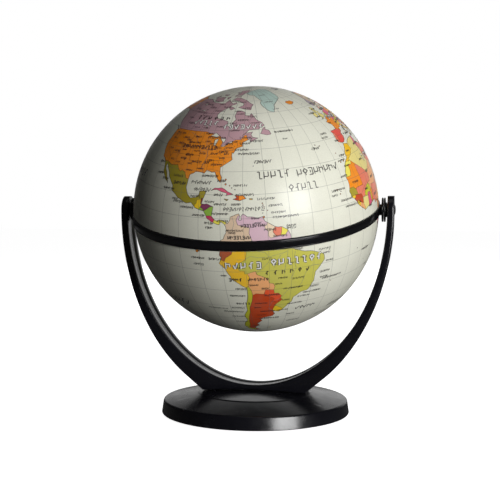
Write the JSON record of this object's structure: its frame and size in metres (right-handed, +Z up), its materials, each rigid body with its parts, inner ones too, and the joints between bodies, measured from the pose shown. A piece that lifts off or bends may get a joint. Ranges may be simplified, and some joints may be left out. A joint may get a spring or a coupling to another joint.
{
  "type": "desktop globe",
  "caption": "Small desktop globe that turns in a tilting ring round its equator, carried by a crescent yoke on a round weighted base.",
  "frame": {"origin": "on the floor, under the globe's centre and in the middle of the round base", "axes": "+Z up; +X along the pivot axis, from the yoke's left tip to its right tip; the front, with the Atlantic at rest, is at -Y"},
  "size_m": [0.1248, 0.11, 0.147],
  "materials": {
    "stand_plastic": "black, satin gloss, very fine moulded texture",
    "ring_plastic": "black, high gloss",
    "bush_plastic": "black, satin",
    "pin_black": "blackened steel, satin",
    "map_print": "printed world map under clear gloss lacquer, cream seas and bright countries",
    "joiner_plastic": "natural moulded plastic",
    "zinc_steel": "zinc-plated screws and washers",
    "ballast_iron": "rough cast ballast ring",
    "plate_plastic": "black, fine grained",
    "pad_rubber": "soft black foam rubber"
  },
  "bodies": {
    "stand": {"base_shell": "stand_plastic", "base_weight": "ballast_iron", "base_bottom_plate": "plate_plastic", "plate_screw_1": "zinc_steel", "plate_screw_2": "zinc_steel", "plate_screw_3": "zinc_steel", "foot_pad_1": "pad_rubber", "foot_pad_2": "pad_rubber", "foot_pad_3": "pad_rubber", "foot_pad_4": "pad_rubber", "yoke": "stand_plastic", "yoke_screw_left": "zinc_steel", "yoke_screw_right": "zinc_steel", "yoke_screw_washer_left": "zinc_steel", "yoke_screw_washer_right": "zinc_steel", "pivot_bush_left": "bush_plastic", "pivot_bush_right": "bush_plastic", "pivot_washer_left": "zinc_steel", "pivot_washer_right": "zinc_steel"},
    "gimbal": {"gimbal_ring": "ring_plastic", "pivot_pin_left": "pin_black", "pivot_pin_right": "pin_black"},
    "globe": {"globe_north_half": "map_print", "globe_south_half": "map_print", "joining_ring": "joiner_plastic"}
  },
  "joints": [
    {"name": "ring_tilt", "type": "hinge", "parent": "stand", "child": "gimbal", "pos_m": [0, 0, 0.092], "axis": [1, 0, 0], "continuous": true},
    {"name": "globe_spin", "type": "hinge", "parent": "gimbal", "child": "globe", "pos_m": [0, 0, 0.092], "axis": [0, -0.2756, 0.9613], "continuous": true}
  ]
}
